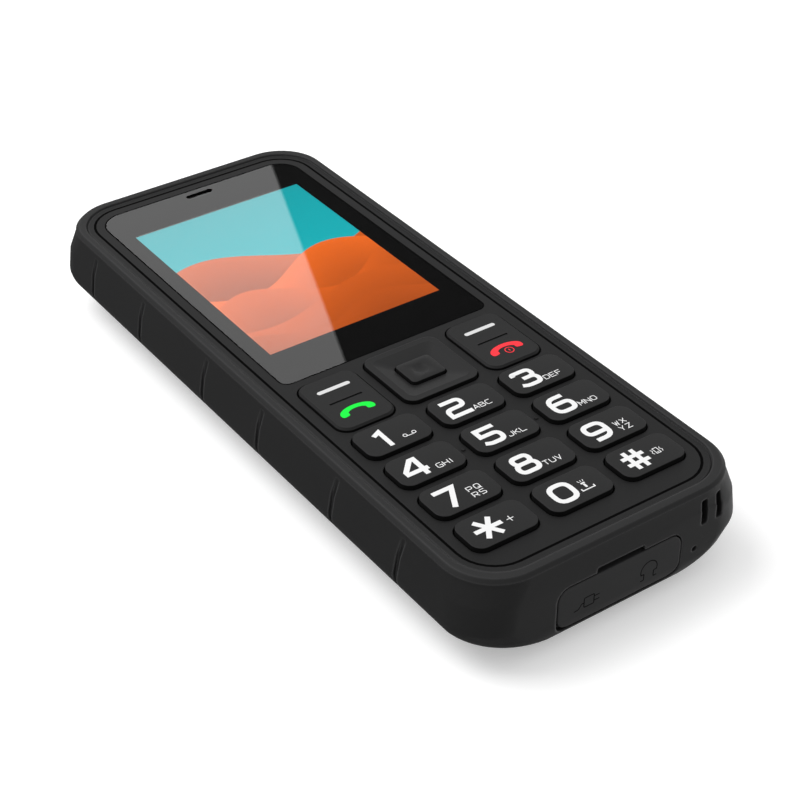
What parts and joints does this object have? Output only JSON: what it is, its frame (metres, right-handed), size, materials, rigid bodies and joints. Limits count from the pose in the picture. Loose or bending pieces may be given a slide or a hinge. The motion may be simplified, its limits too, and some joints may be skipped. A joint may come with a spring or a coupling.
{
  "type": "rugged phone",
  "caption": "Bar-shaped rugged phone with a small display above a raised keypad, a grooved soft-touch shell, a hinged port flap and a lanyard eye.",
  "frame": {"origin": "on the back, under the middle of the casing", "axes": "+X to the phone's right, +Y to its top end, +Z out of its front"},
  "size_m": [0.0572, 0.1374, 0.0185],
  "materials": {
    "shell_soft_touch": "soft-touch black, fine grain",
    "panel_plastic": "fine matt black",
    "lens_glass": "glossy cover glass, black printed border",
    "seal_rubber": "black rubber and adhesive",
    "display_face": "lit display",
    "inner_plastic": "moulded black plastic",
    "key_plastic": "matt black key caps, white legends",
    "mat_rubber": "grey silicone",
    "switch_steel": "sprung steel",
    "board_green": "solder-masked board",
    "battery_case": "wrapped cell",
    "contact_gold": "plated contacts",
    "rear_plastic": "textured black",
    "window_glass": "clear window",
    "torch_clear": "clear lens",
    "mesh_metal": "fine black mesh",
    "flap_rubber": "matt black rubber"
  },
  "bodies": {
    "phone_body": {"antenna": "contact_gold", "battery": "battery_case", "battery_contacts": "contact_gold", "battery_cover": "rear_plastic", "board_screws": "switch_steel", "board_shield": "switch_steel", "camera_module": "inner_plastic", "camera_window": "window_glass", "cover_screws": "switch_steel", "cover_seal": "seal_rubber", "display_bracket": "inner_plastic", "display_lens": "lens_glass", "display_module": "display_face", "dome_switches": "switch_steel", "earpiece": "inner_plastic", "earpiece_mesh": "mesh_metal", "front_panel": "panel_plastic", "headphone_socket": "inner_plastic", "inner_frame": "inner_plastic", "keypad_mat": "mat_rubber", "lens_seal": "seal_rubber", "loudspeaker": "inner_plastic", "main_board": "board_green", "microphone": "inner_plastic", "outer_shell": "shell_soft_touch", "rear_housing": "rear_plastic", "sim_holder": "switch_steel", "speaker_mesh": "mesh_metal", "torch_lens": "torch_clear", "usb_socket": "switch_steel", "vibration_motor": "switch_steel"},
    "key_1": {"key_1": "key_plastic"},
    "key_2": {"key_2": "key_plastic"},
    "key_3": {"key_3": "key_plastic"},
    "key_4": {"key_4": "key_plastic"},
    "key_5": {"key_5": "key_plastic"},
    "key_6": {"key_6": "key_plastic"},
    "key_7": {"key_7": "key_plastic"},
    "key_8": {"key_8": "key_plastic"},
    "key_9": {"key_9": "key_plastic"},
    "key_star": {"key_star": "key_plastic"},
    "key_0": {"key_0": "key_plastic"},
    "key_hash": {"key_hash": "key_plastic"},
    "function_key_left": {"function_key_left": "key_plastic"},
    "function_key_right": {"function_key_right": "key_plastic"},
    "nav_ring": {"nav_ring": "key_plastic"},
    "nav_gimbal": {"nav_gimbal": "inner_plastic"},
    "ok_key": {"ok_key": "key_plastic"},
    "port_flap": {"port_flap": "flap_rubber"}
  },
  "joints": [
    {"name": "key_1_press", "type": "slide", "parent": "phone_body", "child": "key_1", "axis": [0, 0, -1], "range_m": [0, 0.0004], "stiffness_N_per_m": 3000},
    {"name": "key_2_press", "type": "slide", "parent": "phone_body", "child": "key_2", "axis": [0, 0, -1], "range_m": [0, 0.0004], "stiffness_N_per_m": 3000},
    {"name": "key_3_press", "type": "slide", "parent": "phone_body", "child": "key_3", "axis": [0, 0, -1], "range_m": [0, 0.0004], "stiffness_N_per_m": 3000},
    {"name": "key_4_press", "type": "slide", "parent": "phone_body", "child": "key_4", "axis": [0, 0, -1], "range_m": [0, 0.0004], "stiffness_N_per_m": 3000},
    {"name": "key_5_press", "type": "slide", "parent": "phone_body", "child": "key_5", "axis": [0, 0, -1], "range_m": [0, 0.0004], "stiffness_N_per_m": 3000},
    {"name": "key_6_press", "type": "slide", "parent": "phone_body", "child": "key_6", "axis": [0, 0, -1], "range_m": [0, 0.0004], "stiffness_N_per_m": 3000},
    {"name": "key_7_press", "type": "slide", "parent": "phone_body", "child": "key_7", "axis": [0, 0, -1], "range_m": [0, 0.0004], "stiffness_N_per_m": 3000},
    {"name": "key_8_press", "type": "slide", "parent": "phone_body", "child": "key_8", "axis": [0, 0, -1], "range_m": [0, 0.0004], "stiffness_N_per_m": 3000},
    {"name": "key_9_press", "type": "slide", "parent": "phone_body", "child": "key_9", "axis": [0, 0, -1], "range_m": [0, 0.0004], "stiffness_N_per_m": 3000},
    {"name": "key_star_press", "type": "slide", "parent": "phone_body", "child": "key_star", "axis": [0, 0, -1], "range_m": [0, 0.0004], "stiffness_N_per_m": 3000},
    {"name": "key_0_press", "type": "slide", "parent": "phone_body", "child": "key_0", "axis": [0, 0, -1], "range_m": [0, 0.0004], "stiffness_N_per_m": 3000},
    {"name": "key_hash_press", "type": "slide", "parent": "phone_body", "child": "key_hash", "axis": [0, 0, -1], "range_m": [0, 0.0004], "stiffness_N_per_m": 3000},
    {"name": "ok_key_press", "type": "slide", "parent": "phone_body", "child": "ok_key", "axis": [0, 0, -1], "range_m": [0, 0.0004], "stiffness_N_per_m": 3000},
    {"name": "function_key_left_rock", "type": "hinge", "parent": "phone_body", "child": "function_key_left", "pos_m": [-0.01555, -0.0152, 0.0149], "axis": [1, 0, 0], "range_deg": [-2, 2], "stiffness_Nm_per_rad": 0.3},
    {"name": "function_key_right_rock", "type": "hinge", "parent": "phone_body", "child": "function_key_right", "pos_m": [0.01555, -0.0152, 0.0149], "axis": [1, 0, 0], "range_deg": [-2, 2], "stiffness_Nm_per_rad": 0.3},
    {"name": "nav_tilt_sideways", "type": "hinge", "parent": "phone_body", "child": "nav_gimbal", "pos_m": [0, -0.0151, 0.014], "axis": [0, 1, 0], "range_deg": [-1.5, 1.5], "stiffness_Nm_per_rad": 0.4},
    {"name": "nav_tilt_lengthways", "type": "hinge", "parent": "nav_gimbal", "child": "nav_ring", "pos_m": [0, -0.0151, 0.0149], "axis": [1, 0, 0], "range_deg": [-1.5, 1.5], "stiffness_Nm_per_rad": 0.4},
    {"name": "port_flap_hinge", "type": "hinge", "parent": "phone_body", "child": "port_flap", "pos_m": [0, -0.06795, 0.0041], "axis": [1, 0, 0], "range_deg": [0, 95]}
  ]
}
